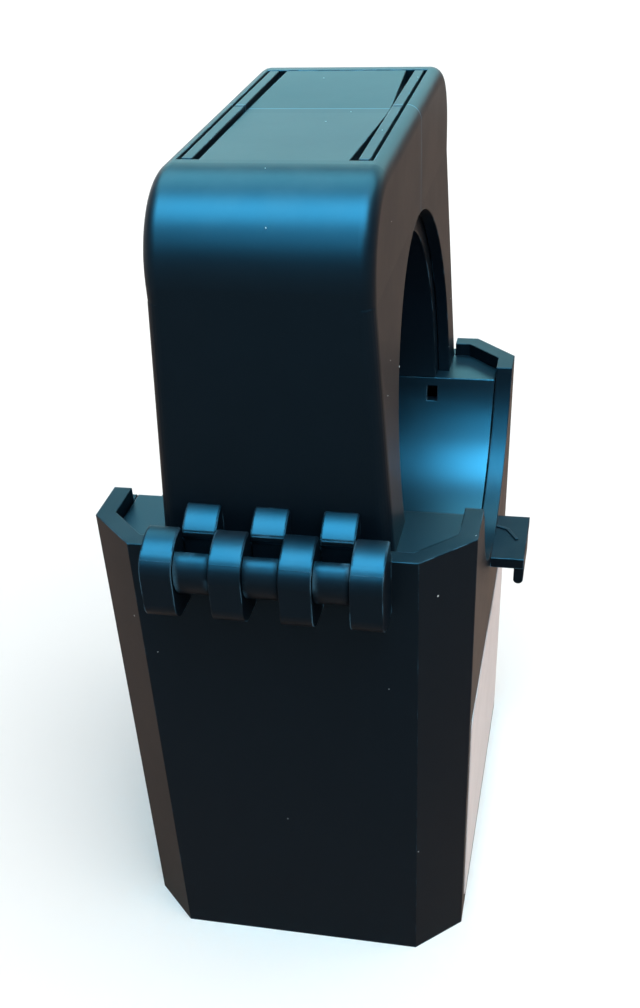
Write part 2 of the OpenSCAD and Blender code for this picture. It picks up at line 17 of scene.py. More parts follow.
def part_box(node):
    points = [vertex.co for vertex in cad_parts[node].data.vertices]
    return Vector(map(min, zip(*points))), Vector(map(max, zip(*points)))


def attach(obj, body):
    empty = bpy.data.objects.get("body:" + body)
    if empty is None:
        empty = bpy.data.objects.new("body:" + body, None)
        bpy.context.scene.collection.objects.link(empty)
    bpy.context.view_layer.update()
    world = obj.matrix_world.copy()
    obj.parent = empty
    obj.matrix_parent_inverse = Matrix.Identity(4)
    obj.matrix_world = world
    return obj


bl_info = {
    "name": "Split-core current transformer dressing",
    "version": (1, 0, 0),
    "blender": (4, 5, 0),
    "location": "View3D > Sidebar > Transformer",
    "description": "Finishes the mouldings, core, coil and terminals, and sets the studio",
    "category": "Object",
}

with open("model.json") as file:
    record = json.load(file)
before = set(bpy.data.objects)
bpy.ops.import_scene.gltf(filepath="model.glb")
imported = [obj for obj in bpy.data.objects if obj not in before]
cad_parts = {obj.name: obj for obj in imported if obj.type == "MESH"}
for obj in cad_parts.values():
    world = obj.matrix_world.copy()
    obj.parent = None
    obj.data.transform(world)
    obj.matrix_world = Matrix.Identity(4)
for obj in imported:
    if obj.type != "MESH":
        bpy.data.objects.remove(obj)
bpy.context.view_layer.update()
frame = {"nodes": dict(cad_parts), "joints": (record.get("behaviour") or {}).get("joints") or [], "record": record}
MM = 0.001

CASE_LOW, CASE_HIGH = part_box("lower_case")
ARCH_NEAR_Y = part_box("arch_cover")[0].y
LID_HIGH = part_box("saddle_cover")[1]
DECK_Z = LID_HIGH.z
HINGE = Vector(frame["joints"][0]["pos_m"])
WINDOW_R = frame["record"]["mounts"][0]["dims"]["r_mm"] * MM
WALL_T = 2 * MM
LID_GAP = 0.15 * MM
SIDE_WALL_X = LID_HIGH.x + LID_GAP + WALL_T


# ---- shader building ------------------------------------------------------


def new_material(name):
    """An empty node material with its output node."""
    material = bpy.data.materials.new(name)
    material.use_nodes = True
    material.node_tree.nodes.clear()
    material.node_tree.nodes.new("ShaderNodeOutputMaterial")
    return material


def node(tree, kind, values=None, **settings):
    """Adds a node with its attributes set, and sets or links the inputs that are given."""
    made = tree.nodes.new(kind)
    for key, value in settings.items():
        setattr(made, key, value)
    for key, value in (values or {}).items():
        socket = made.inputs[key]
        if isinstance(value, bpy.types.NodeSocket):
            tree.links.new(value, socket)
        else:
            socket.default_value = value
    return made


def math_node(tree, operation, a, b=0.0):
    return node(tree, "ShaderNodeMath", {0: a, 1: b}, operation=operation).outputs[0]


def ramp(tree, value, low, high):
    """0 below low, 1 above high, and smooth between them."""
    made = node(
        tree,
        "ShaderNodeMapRange",
        {"Value": value, "From Min": low, "From Max": high},
        interpolation_type="SMOOTHSTEP",
    )
    return made.outputs["Result"]


def spread(tree, value, low, high):
    """Stretches a value from between 0 and 1 to between low and high."""
    made = node(tree, "ShaderNodeMapRange", {"Value": value, "To Min": low, "To Max": high})
    return made.outputs["Result"]


def mix_colour(tree, factor, a, b):
    """Colour a where the factor is 0, and colour b where it is 1."""
    return node(tree, "ShaderNodeMix", {0: factor, 6: a, 7: b}, data_type="RGBA").outputs[2]


def noise(tree, place, scale, detail, roughness=0.5):
    values = {"Vector": place, "Scale": scale, "Detail": detail, "Roughness": roughness}
    return node(tree, "ShaderNodeTexNoise", values).outputs["Fac"]


def axis_of(tree, vector, axis):
    """One component of a vector."""
    return node(tree, "ShaderNodeSeparateXYZ", {0: vector}).outputs[axis]


def true_normal(tree):
    return tree.nodes.new("ShaderNodeNewGeometry").outputs["Normal"]


def object_place(tree):
    return tree.nodes.new("ShaderNodeTexCoord").outputs["Object"]


def rgba(colour, brightness=1.0):
    """A colour with its alpha, made darker or brighter."""
    return (*(min(part * brightness, 1.0) for part in colour), 1.0)


def new_group(name, inputs, outputs):
    """A shader node group with named sockets, and its input and output nodes."""
    tree = bpy.data.node_groups.new(name, "ShaderNodeTree")
    for label, kind, default in inputs:
        socket = tree.interface.new_socket(name=label, in_out="INPUT", socket_type=kind)
        if default is not None:
            socket.default_value = default
    for label, kind in outputs:
        tree.interface.new_socket(name=label, in_out="OUTPUT", socket_type=kind)
    return tree, tree.nodes.new("NodeGroupInput"), tree.nodes.new("NodeGroupOutput")


def effect(tree, name, values):
    """Places a shared effect in a material, and builds it the first time that it is used."""
    if name not in EFFECTS:
        EFFECTS[name] = EFFECT_BUILDERS[name]()
    return node(tree, "ShaderNodeGroup", values, node_tree=EFFECTS[name])


def relief(tree, height, edges, strength, depth):
    """Normal of a fine relief that lies on the rounded edges."""
    values = {"Strength": strength, "Distance": depth, "Height": height}
    values["Normal"] = edges.outputs["Normal"]
    return node(tree, "ShaderNodeBump", values).outputs["Normal"]


def end_material(material, values, kind="ShaderNodeBsdfPrincipled"):
    """Adds the shader that carries a finish, and returns the finished material."""
    tree = material.node_tree
    shader = node(tree, kind, values)
    tree.links.new(shader.outputs[0], tree.nodes["Material Output"].inputs[0])
    return material


# ---- effects shared by several finishes -----------------------------------


def grain_effect():
    """Spark-eroded mould grain: a fine height and a slow mottle."""
    tree, start, end = new_group(
        "mould_grain",
        [
            ("Place", "NodeSocketVector", None),
            ("Grain Size", "NodeSocketFloat", 0.3 * MM),
            ("Mottle Size", "NodeSocketFloat", 9 * MM),
        ],
        [("Height", "NodeSocketFloat"), ("Mottle", "NodeSocketFloat")],
    )
    place = start.outputs["Place"]
    grain_scale = math_node(tree, "DIVIDE", 1.0, start.outputs["Grain Size"])
    mottle_scale = math_node(tree, "DIVIDE", 1.0, start.outputs["Mottle Size"])
    grain = noise(tree, place, grain_scale, detail=3.0)
    mottle = noise(tree, place, mottle_scale, detail=4.0, roughness=0.6)
    tree.links.new(grain, end.inputs["Height"])
    tree.links.new(mottle, end.inputs["Mottle"])
    return tree


def edge_effect():
    """Rounds the sharp edges in the light, and marks where they are rubbed; in the plastics that mark carries a
    painted edge highlight as well as wear.
    """
    tree, start, end = new_group(
        "edge_wear_and_glint",
        [
            ("Place", "NodeSocketVector", None),
            ("Radius", "NodeSocketFloat", 0.2 * MM),
            ("Patch Size", "NodeSocketFloat", 3 * MM),
            ("Amount", "NodeSocketFloat", 0.85),
        ],
        [("Normal", "NodeSocketVector"), ("Wear And Glint", "NodeSocketFloat")],
    )
    bevel = node(tree, "ShaderNodeBevel", {"Radius": start.outputs["Radius"]}, samples=6)
    likeness = node(
        tree,
        "ShaderNodeVectorMath",
        {0: bevel.outputs["Normal"], 1: true_normal(tree)},
        operation="DOT_PRODUCT",
    )
    turned_away = math_node(tree, "SUBTRACT", 1.0, likeness.outputs["Value"])
    edge = ramp(tree, turned_away, 0.02, 0.2)
    patch_scale = math_node(tree, "DIVIDE", 1.0, start.outputs["Patch Size"])
    patches = noise(tree, start.outputs["Place"], patch_scale, detail=5.0)
    rubbed = math_node(tree, "MULTIPLY", edge, ramp(tree, patches, 0.48, 0.68))
    wear_and_glint = math_node(tree, "MULTIPLY", rubbed, start.outputs["Amount"])
    tree.links.new(bevel.outputs["Normal"], end.inputs["Normal"])
    tree.links.new(wear_and_glint, end.inputs["Wear And Glint"])
    return tree


def dust_effect():
    """Sparse specks of dust, and a thin film on faces that look up."""
    tree, start, end = new_group(
        "dust",
        [
            ("Place", "NodeSocketVector", None),
            ("Speck Spacing", "NodeSocketFloat", 4 * MM),
            ("Speck Size", "NodeSocketFloat", 0.035),
            ("Bare Share", "NodeSocketFloat", 0.72),
            ("Cloud Scale", "NodeSocketFloat", 220.0),
            ("Film", "NodeSocketFloat", 0.1),
        ],
        [("Specks", "NodeSocketFloat"), ("Film", "NodeSocketFloat")],
    )
    place = start.outputs["Place"]
    spacing = math_node(tree, "DIVIDE", 1.0, start.outputs["Speck Spacing"])
    cells = node(tree, "ShaderNodeTexVoronoi", {"Vector": place, "Scale": spacing})
    chosen = math_node(tree, "GREATER_THAN", cells.outputs["Color"], start.outputs["Bare Share"])
    near = math_node(tree, "LESS_THAN", cells.outputs["Distance"], start.outputs["Speck Size"])
    facing_up = ramp(tree, axis_of(tree, true_normal(tree), "Z"), 0.3, 1.0)
    clouds = ramp(tree, noise(tree, place, start.outputs["Cloud Scale"], detail=6.0), 0.35, 0.75)
    film = math_node(tree, "MULTIPLY", facing_up, clouds)
    film = math_node(tree, "MULTIPLY", film, start.outputs["Film"])
    tree.links.new(math_node(tree, "MULTIPLY", near, chosen), end.inputs["Specks"])
    tree.links.new(film, end.inputs["Film"])
    return tree


def layers_effect():
    """Thin layers stacked along one direction: strip edges, wire turns or brush marks."""
    tree, start, end = new_group(
        "layers",
        [("Along", "NodeSocketFloat", None), ("Pitch", "NodeSocketFloat", 0.3 * MM)],
        [("Height", "NodeSocketFloat"), ("Tone", "NodeSocketFloat")],
    )
    turns = math_node(tree, "DIVIDE", start.outputs["Along"], start.outputs["Pitch"])
    wave = math_node(tree, "SINE", math_node(tree, "MULTIPLY", turns, math.tau))
    whole = math_node(tree, "FLOOR", turns)
    tone = node(tree, "ShaderNodeTexWhiteNoise", {"W": whole}, noise_dimensions="1D")
    tree.links.new(wave, end.inputs["Height"])
    tree.links.new(tone.outputs["Value"], end.inputs["Tone"])
    return tree


EFFECT_BUILDERS = {
    "grain": grain_effect,
    "edges": edge_effect,
    "dust": dust_effect,
    "layers": layers_effect,
}
EFFECTS = {}


# ---- sizes and colours that a user would change ---------------------------


def colour_property(name, description, default):
    return FloatVectorProperty(
        name=name, description=description, subtype="COLOR", size=3, min=0, max=1, default=default
    )


def length_property(name, description, millimetres):
    return FloatProperty(
        name=name, description=description, unit="LENGTH", default=millimetres * MM
    )


def angle_property(name, description, degrees):
    return FloatProperty(
        name=name, description=description, unit="ROTATION", default=math.radians(degrees)
    )


def share_property(name, description, default):
    return FloatProperty(name=name, description=description, default=default, min=0, max=1)


def corner_property(name, description, y, z):
    """A place on the side wall, along Y and Z."""
    return FloatVectorProperty(
        name=name, description=description, unit="LENGTH", size=2, default=(y * MM, z * MM)
    )


class PlasticSettings(bpy.types.PropertyGroup):
    """Finish of the black mouldings."""

    body: colour_property("Body", "Colour of the moulded plastic", (0.003, 0.0052, 0.0088))
    sheen: colour_property("Sheen", "Tint of its reflections", (0.3, 0.72, 1.0))
    # Blue of the rubbed edges: real wear, with a painted edge highlight in its colour.
    worn_and_glint: colour_property("Worn And Glint", "Colour of rubbed edges", (0.09, 0.22, 0.32))
    dust: colour_property("Dust", "Colour of dust", (0.45, 0.5, 0.52))
    roughness: share_property("Roughness", "Roughness of the main faces", 0.38)
    gloss: share_property("Gloss", "Strength of the reflections", 0.12)
    grain: length_property("Grain", "Size of the mould grain", 0.3)
    edge: length_property("Edge radius", "Rounding of the edges", 0.22)
    soft_edge: length_property("Soft edge", "Extra rounding of the arch's hinge side", 0.9)
    soft_reach: length_property("Soft reach", "Depth of the arch that is rounded so", 4)
    witness_y: length_property("Witness line", "Middle of the arch's witness line along Y", 2.4)
    witness_up: length_property("Witness start", "Start of that line above the window", 2.2)


class StageSettings(bpy.types.PropertyGroup):
    """Camera, lamps and floor."""

    aim: FloatVectorProperty(
        name="Aim",
        description="Point that the camera looks at",
        subtype="XYZ",
        unit="LENGTH",
        size=3,
        default=(3.05 * MM, -25.7 * MM, -30.7 * MM),
    )
    distance: length_property("Distance", "From the camera to its aim", 142.2)
    azimuth: angle_property("Azimuth", "Turn of the camera round the part", 13.75)
    elevation: angle_property("Elevation", "Height of the camera above the horizon", 39.85)
    roll: angle_property("Roll", "Tilt of the picture", -3.4)
    lens: FloatProperty(
        name="Lens", description="Focal length in millimetres", default=43.1, min=10, max=200
    )
    rise: FloatProperty(
        name="Rise", description="Upward shift of the lens", default=0.229, min=-0.5, max=0.5
    )
    key_strength: FloatProperty(
        name="Key", description="Strength of the broad key lamp", default=2.55, min=0
    )
    key_spread: angle_property("Key spread", "Width of the broad key lamp in the sky", 60)
    surround: colour_property("Surround", "Colour of the light all round", (0.76, 0.9, 1.0))
    surround_strength: share_property("Surround strength", "Strength of that light", 0.38)
    floor: colour_property("Floor", "Colour of the floor and backdrop", (0.97, 0.95, 0.93))
    flag: colour_property("Flag", "Colour of the flag and its mat", (0.52, 0.37, 0.29))


class MetalSettings(bpy.types.PropertyGroup):
    """Finishes of the core, the pin, the terminals and the winding."""

    steel: colour_property("Core steel", "Colour of the varnished strip", (0.24, 0.25, 0.27))
    stain: colour_property("Core stain", "Colour of the stains on it", (0.13, 0.07, 0.04))
    plating: colour_property("Plating", "Colour of the zinc plated screws", (0.62, 0.64, 0.66))
    brass: colour_property("Brass", "Colour of the terminal inserts", (0.72, 0.5, 0.2))
    copper: colour_property("Copper", "Colour of the enamelled wire", (0.6, 0.2, 0.07))
    pin: colour_property("Pin", "Colour of the blackened hinge pin", (0.035, 0.037, 0.04))
    strip: length_property("Strip", "Thickness of the core's strip", 0.27)
    core_bend: length_property("Core bend", "Outer radius of the strip's bends", 7)
    wire: length_property("Wire", "Pitch of the winding's turns", 0.42)


class HingeSettings(bpy.types.PropertyGroup):
    """Sizes of the hinge's comb, for the caps on its hooks and knuckles."""

    hooks: IntProperty(name="Hooks", description="Hooks of the arch in the comb", default=3, min=1)
    pitch: length_property("Pitch", "From one hook to the next", 7.14)
    hook_x: length_property("Hook width", "Width of a shoulder cap", 3.59)
    knuckle_x: length_property("Knuckle width", "Width of a knuckle cap", 3.39)
    pin_out: length_property("Pin stand", "From the hinge-side wall to the pin", 2)
    shoulder_h: length_property("Shoulder height", "Plain shoulders above the deck", 4.15)
    shoulder_rise: length_property("Shoulder rise", "Back of the slope above them", 1.2)
    shoulder_fall: length_property("Shoulder fall", "Front of the slope below them", 0.5)
    shoulder_back: length_property("Shoulder back", "Back of the slope behind the wall", 2.6)
    shoulder_out: length_property("Shoulder out", "Front of the slope beyond the wall", 0.35)
    shoulder_crown: length_property("Shoulder crown", "Bulge of the shoulder's slope", 0.3)
    shoulder_root: length_property("Shoulder root", "Depth of a cap in its shoulder", 1.2)
    knuckle_back: length_property("Knuckle back", "Back of the slope beyond the wall", 0.1)
    knuckle_top: length_property("Knuckle top", "Back of the slope above the pin", 3.5)
    knuckle_out: length_property("Knuckle out", "Front of the slope beyond the pin", 2.35)
    knuckle_front: length_property("Knuckle front", "Front of the slope above the pin", 1.75)
    knuckle_crown: length_property("Knuckle crown", "Bulge of the knuckle's slope", 0.6)
    knuckle_root: length_property("Knuckle root", "Foot of a cap above the pin", 1.2)
    cap_edge: length_property("Cap edge", "Rounding of the edges of all caps", 0.12)


class TrimSettings(bpy.types.PropertyGroup):
    """Bobbin, tape, leads, label plate, marks and dust."""

    nylon: colour_property("Nylon", "Colour of the bobbin", (0.72, 0.68, 0.56))
    film: colour_property("Film", "Colour of the polyester tape", (0.78, 0.5, 0.05))
    start_lead: colour_property("Start lead", "Colour of its sleeve", (0.75, 0.75, 0.72))
    finish_lead: colour_property("Finish lead", "Colour of its sleeve", (0.02, 0.02, 0.022))
    plate: colour_property("Plate", "Colour of the blank label plate", (0.7, 0.64, 0.645))
    plate_low: corner_property("Plate start", "Near lower corner of the plate", -23, -59)
    plate_high: corner_property("Plate end", "Far upper corner of the plate", 20, -29)
    plate_r: length_property("Plate corner", "Corner radius of the plate", 1.5)
    plate_t: length_property("Plate thickness", "Thickness of the plate", 0.12)
    mark_t: length_property("Mark height", "Stand of the moulded arrows", 0.18)
    mark_in: length_property("Mark inset", "From the wall or the lug's end to a mark", 1.5)
    mark_y: length_property("Mark place", "Tip of the moulded arrows along Y", 2.3)
    flecks: IntProperty(name="Flecks", description="Specks on each moulding", default=26, min=0)
    fleck: colour_property("Fleck", "Colour of the specks", (0.6, 0.66, 0.7))


# ---- finishes --------------------------------------------------------------


def witness_line(tree, place, line_y, above):
    """Mask of the thin line that the mould's halves leave on the arch."""
    from_line = math_node(tree, "SUBTRACT", axis_of(tree, place, "Y"), line_y)
    off = math_node(tree, "ABSOLUTE", from_line)
    line = math_node(tree, "SUBTRACT", 1.0, ramp(tree, off, 0.05 * MM, 0.2 * MM))
    high = math_node(tree, "GREATER_THAN", axis_of(tree, place, "Z"), above)
    return math_node(tree, "MULTIPLY", line, high)


def plastic_finish(name, settings, gloss=1.0, rough=0.0, film=0.02, witness=None, soft_y=None):
    """Black moulded plastic with grain, a little dust, and rubbed edges whose blue is partly a painted edge
    highlight.

    Witness is the line's place along Y and its lower end. Edges nearer than soft_y are rounder.
    """
    material = new_material(name)
    tree = material.node_tree
    place = object_place(tree)
    radius = settings.edge
    if soft_y is not None:
        near = math_node(tree, "LESS_THAN", axis_of(tree, place, "Y"), soft_y)
        extra = math_node(tree, "MULTIPLY", near, settings.soft_edge)
        radius = math_node(tree, "ADD", extra, radius)
    grain = effect(tree, "grain", {"Place": place, "Grain Size": settings.grain})
    edges = effect(tree, "edges", {"Place": place, "Radius": radius})
    dust = effect(tree, "dust", {"Place": place, "Film": film})
    worn_and_glint, dusty = rgba(settings.worn_and_glint), rgba(settings.dust)
    # Rubbed edges take the blue worn colour: real wear, partly a painted edge highlight.
    colour = mix_colour(tree, edges.outputs["Wear And Glint"], rgba(settings.body), worn_and_glint)
    colour = mix_colour(tree, dust.outputs["Film"], colour, dusty)
    colour = mix_colour(tree, dust.outputs["Specks"], colour, dusty)
    height = grain.outputs["Height"]
    if witness:
        line = witness_line(tree, place, *witness)
        # The witness line is a real groove; its blue tint is a painted highlight along it.
        line_glint, depth = 0.55, 6.0
        colour = mix_colour(tree, math_node(tree, "MULTIPLY", line, line_glint), colour, worn_and_glint)
        height = math_node(tree, "SUBTRACT", height, math_node(tree, "MULTIPLY", line, depth))
    smoothest = settings.roughness + rough - 0.04
    return end_material(
        material,
        {
            "Base Color": colour,
            "Roughness": spread(tree, grain.outputs["Mottle"], smoothest, smoothest + 0.09),
            "Normal": relief(tree, height, edges, strength=0.25, depth=0.01 * MM),
            "Specular IOR Level": settings.gloss * gloss,
            "Specular Tint": rgba(settings.sheen),
        },
    )


def metal_finish(name, colour, roughness, along="Y", metallic=1.0, gloss=0.5):
    """Metal with fine turning or rolling marks along one axis, and faint stains."""
    material = new_material(name)
    tree = material.node_tree
    place = object_place(tree)
    marks = effect(tree, "layers", {"Along": axis_of(tree, place, along), "Pitch": 0.12 * MM})
    sizes = {"Grain Size": 0.2 * MM, "Mottle Size": 3 * MM}
    grain = effect(tree, "grain", {"Place": place, **sizes})
    edges = effect(tree, "edges", {"Place": place, "Radius": 0.12 * MM, "Amount": 0.5})
    clean = ramp(tree, grain.outputs["Mottle"], 0.35, 0.7)
    shade = mix_colour(tree, clean, rgba(colour, 0.7), rgba(colour))
    shade = mix_colour(tree, edges.outputs["Wear And Glint"], shade, rgba(colour, 1.25))
    height = math_node(tree, "ADD", marks.outputs["Height"], grain.outputs["Height"])
    rough = spread(tree, marks.outputs["Tone"], roughness - 0.05, roughness + 0.08)
    return end_material(
        material,
        {
            "Base Color": shade,
            "Metallic": metallic,
            "Roughness": rough,
            "Normal": relief(tree, height, edges, strength=0.3, depth=0.008 * MM),
            "Specular IOR Level": gloss,
        },
    )


def strip_distance(tree, place, middle, half):
    """Distance outwards from a box inside a wound core, so that it grows across the layers."""
    parts = []
    for axis, centre, reach in zip("YZ", middle, half):
        from_middle = math_node(tree, "SUBTRACT", axis_of(tree, place, axis), centre)
        off = math_node(tree, "ABSOLUTE", from_middle)
        outside = math_node(tree, "MAXIMUM", math_node(tree, "SUBTRACT", off, reach), 0.0)
        parts.append(math_node(tree, "MULTIPLY", outside, outside))
    return math_node(tree, "SQRT", math_node(tree, "ADD", *parts))


def core_finish(name, settings, low, high, open_up):
    """Strip-wound silicon steel in its dull varnish: thin layers that follow the U."""
    material = new_material(name)
    tree = material.node_tree
    place = object_place(tree)
    cut_z = high.z if open_up else low.z
    middle = ((low.y + high.y) / 2, cut_z)
    half = ((high.y - low.y) / 2 - settings.core_bend, high.z - low.z - settings.core_bend)
    across = strip_distance(tree, place, middle, half)
    strips = effect(tree, "layers", {"Along": across, "Pitch": settings.strip})
    sizes = {"Grain Size": 0.25 * MM, "Mottle Size": 5 * MM}
    grain = effect(tree, "grain", {"Place": place, **sizes})
    edges = effect(tree, "edges", {"Place": place, "Radius": 0.1 * MM, "Amount": 0.3})
    steel, dark = rgba(settings.steel), rgba(settings.steel, 0.45)
    shade = mix_colour(tree, strips.outputs["Tone"], steel, dark)
    stained = ramp(tree, grain.outputs["Mottle"], 0.58, 0.75)
    shade = mix_colour(tree, stained, shade, rgba(settings.stain))
    height = strips.outputs["Height"]
    return end_material(
        material,
        {
            "Base Color": shade,
            "Roughness": spread(tree, grain.outputs["Mottle"], 0.3, 0.55),
            "Normal": relief(tree, height, edges, strength=0.5, depth=0.02 * MM),
            "Specular IOR Level": 0.15,
        },
    )


def smooth_finish(name, colour, roughness, wraps=None, depth=0.02 * MM, gloss=0.4, shade=0.8):
    """Plain plastic, film or sleeve. Wraps is the axis and the pitch of its wraps or turns."""
    material = new_material(name)
    tree = material.node_tree
    place = object_place(tree)
    sizes = {"Grain Size": 0.4 * MM, "Mottle Size": 6 * MM}
    grain = effect(tree, "grain", {"Place": place, **sizes})
    edges = effect(tree, "edges", {"Place": place, "Radius": 0.15 * MM, "Amount": 0.2})
    tone = grain.outputs["Mottle"]
    height = grain.outputs["Height"]
    if wraps:
        axis, pitch = wraps
        turns = effect(tree, "layers", {"Along": axis_of(tree, place, axis), "Pitch": pitch})
        both = math_node(tree, "ADD", tone, turns.outputs["Tone"])
        tone = math_node(tree, "MULTIPLY", both, 0.5)
        height = turns.outputs["Height"]
    base = mix_colour(tree, ramp(tree, tone, 0.3, 0.75), rgba(colour), rgba(colour, shade))
    rough = spread(tree, grain.outputs["Mottle"], roughness - 0.06, roughness + 0.06)
    return end_material(
        material,
        {
            "Base Color": base,
            "Roughness": rough,
            "Normal": relief(tree, height, edges, strength=0.4, depth=depth),
            "Specular IOR Level": gloss,
        },
    )


def dress(names, material):
    """Gives CAD nodes their finish."""
    for name in names:
        shown = frame["nodes"][name]
        shown.data.materials.clear()
        shown.data.materials.append(material)


# ---- operators -------------------------------------------------------------


class DressMouldings(bpy.types.Operator):
    """Gives the black mouldings their grained plastic."""

    bl_idname = "transformer.dress_mouldings"
    bl_label = "Dress the mouldings"

    def execute(self, context):
        settings = context.scene.transformer_plastic
        witness = (settings.witness_y, WINDOW_R + settings.witness_up)
        soft_y = ARCH_NEAR_Y + settings.soft_reach
        finishes = {
            "lower_case": plastic_finish("case_plastic", settings),
            "saddle_cover": plastic_finish(
                "saddle_plastic", settings, gloss=2.2, rough=-0.04, film=0.0
            ),
            "arch_cover": plastic_finish(
                "arch_plastic", settings, witness=witness, soft_y=soft_y
            ),
            "arch_liner": plastic_finish("liner_plastic", settings),
        }
        for name, finish in finishes.items():
            dress([name], finish)
        return {"FINISHED"}


class DressCore(bpy.types.Operator):
    """Gives both halves of the core their wound strip."""

    bl_idname = "transformer.dress_core"
    bl_label = "Dress the core"

    def execute(self, context):
        settings = context.scene.transformer_metal
        for name, open_up in (("lower_core", True), ("upper_core", False)):
            low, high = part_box(name)
            dress([name], core_finish(name + "_strip", settings, low, high, open_up))
        return {"FINISHED"}


class DressCoil(bpy.types.Operator):
    """Finishes the bobbin, the winding, its tape and the two leads."""

    bl_idname = "transformer.dress_coil"
    bl_label = "Dress the coil"

    def execute(self, context):
        metal = context.scene.transformer_metal
        trim = context.scene.transformer_trim
        dress(["coil_bobbin"], smooth_finish("bobbin_nylon", trim.nylon, 0.45))
        wire = smooth_finish(
            "enamelled_wire",
            metal.copper,
            0.28,
            wraps=("Y", metal.wire),
            depth=0.12 * MM,
            gloss=0.7,
            shade=0.55,
        )
        dress(["secondary_winding"], wire)
        tape_w = 5.2 * MM
        tape = smooth_finish(
            "polyester_tape", trim.film, 0.22, wraps=("Y", tape_w), depth=0.05 * MM, gloss=0.6
        )
        dress(["winding_tape"], tape)
        sleeve = ("Z", 1.4 * MM)
        start = smooth_finish("start_sleeve", trim.start_lead, 0.4, wraps=sleeve, shade=0.9)
        finish = smooth_finish("finish_sleeve", trim.finish_lead, 0.35, wraps=sleeve)
        dress(["start_lead"], start)
        dress(["finish_lead"], finish)
        return {"FINISHED"}


class DressHardware(bpy.types.Operator):
    """Finishes the hinge pin, the terminal inserts, the washers and the screws."""

    bl_idname = "transformer.dress_hardware"
    bl_label = "Dress the hardware"

    def execute(self, context):
        settings = context.scene.transformer_metal
        pin = metal_finish(
            "pin_black_oxide", settings.pin, 0.42, along="X", metallic=0.0, gloss=0.2
        )
        dress(["hinge_pin"], pin)
        brass = metal_finish("insert_brass", settings.brass, 0.3)
        plated = metal_finish("zinc_plating", settings.plating, 0.27)
        for side in (1, 2):
            dress([f"terminal_insert_{side}"], brass)
            dress([f"terminal_washer_{side}", f"terminal_screw_{side}"], plated)
        return {"FINISHED"}


def link_piece(name, mesh, material, body):
    """Puts a finished mesh in the scene as a piece that rides on a body."""
    mesh.materials.clear()
    mesh.materials.append(material)
    piece = bpy.data.objects.new(name, mesh)
    bpy.context.scene.collection.objects.link(piece)
    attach(piece, body)


def raise_face(shape, ring, move):
    """Closes a ring of vertices with a face and pushes it out into a solid.

    Returns the vertices of the moved face.
    """
    face = shape.faces.new(ring)
    made = bmesh.ops.extrude_face_region(shape, geom=[face])["geom"]
    moved = [part for part in made if isinstance(part, bmesh.types.BMVert)]
    bmesh.ops.translate(shape, verts=moved, vec=move)
    bmesh.ops.recalc_face_normals(shape, faces=shape.faces)
    return moved


def take_mesh(shape, name):
    """Turns a finished bmesh into a mesh and frees it."""
    mesh = bpy.data.meshes.new(name)
    shape.to_mesh(mesh)
    shape.free()
    return mesh


def node_tree_to_mesh(name, source, tree, values):
    """Runs a geometry node tree on a mesh and returns the plain mesh that it makes."""
    carrier = bpy.data.objects.new(name + "_carrier", source)
    bpy.context.scene.collection.objects.link(carrier)
    modifier = carrier.modifiers.new(name, "NODES")
    modifier.node_group = tree
    for socket in tree.interface.items_tree:
        if socket.in_out == "INPUT" and socket.name in values:
            modifier[socket.identifier] = values[socket.name]
    graph = bpy.context.evaluated_depsgraph_get()
    mesh = bpy.data.meshes.new_from_object(carrier.evaluated_get(graph))
    mesh.name = name
    bpy.data.objects.remove(carrier)
    return mesh


def new_geometry_tree(name, inputs):
    """A geometry node tree with named inputs, and its input and output nodes."""
    tree = bpy.data.node_groups.new(name, "GeometryNodeTree")
    geometry = ("Geometry", "NodeSocketGeometry", None)
    for label, kind, default in (geometry, *inputs):
        socket = tree.interface.new_socket(name=label, in_out="INPUT", socket_type=kind)
        if default is not None:
            socket.default_value = default
    tree.interface.new_socket(name="Geometry", in_out="OUTPUT", socket_type="NodeSocketGeometry")
    return tree, tree.nodes.new("NodeGroupInput"), tree.nodes.new("NodeGroupOutput")


def end_tree(tree, points, copied, start, end, **extra):
    """Puts a copy of a shape on each point, realizes the copies and gives them the material."""
    values = {"Points": points, "Instance": copied, **extra}
    placed = node(tree, "GeometryNodeInstanceOnPoints", values)
    real = node(tree, "GeometryNodeRealizeInstances", {"Geometry": placed.outputs[0]})
    painted = node(
        tree,
        "GeometryNodeSetMaterial",
        {"Geometry": real.outputs[0], "Material": start.outputs["Material"]},
    )
    tree.links.new(painted.outputs[0], end.inputs[0])


def arrow_tree():
    """Half an arrow head, a long stroke and a short one, standing on each vertex."""
    tree, start, end = new_geometry_tree(
        "arrow_strokes",
        [
            ("Length", "NodeSocketFloat", 2.7 * MM),
            ("Width", "NodeSocketFloat", 0.4 * MM),
            ("Height", "NodeSocketFloat", 0.2 * MM),
            ("Material", "NodeSocketMaterial", None),
        ],
    )
    long_stroke, short_stroke = (-151, 1.0), (66, 0.6)
    size = node(
        tree,
        "ShaderNodeCombineXYZ",
        {0: start.outputs["Width"], 1: start.outputs["Length"], 2: start.outputs["Height"]},
    )
    bar = node(tree, "GeometryNodeMeshCube", {"Size": size.outputs[0], "Vertices Y": 5})
    half = math_node(tree, "MULTIPLY", start.outputs["Length"], 0.5)
    along = node(tree, "ShaderNodeCombineXYZ", {1: half})
    pushed = node(
        tree,
        "GeometryNodeTransform",
        {"Geometry": bar.outputs[0], "Translation": along.outputs[0]},
    )
    join = tree.nodes.new("GeometryNodeJoinGeometry")
    for degrees, reach in (long_stroke, short_stroke):
        turned = node(
            tree,
            "GeometryNodeTransform",
            {
                "Geometry": pushed.outputs[0],
                "Rotation": (0, 0, math.radians(degrees)),
                "Scale": (1, reach, 1),
            },
        )
        tree.links.new(turned.outputs[0], join.inputs[0])
    end_tree(tree, start.outputs["Geometry"], join.outputs[0], start, end)
    return tree


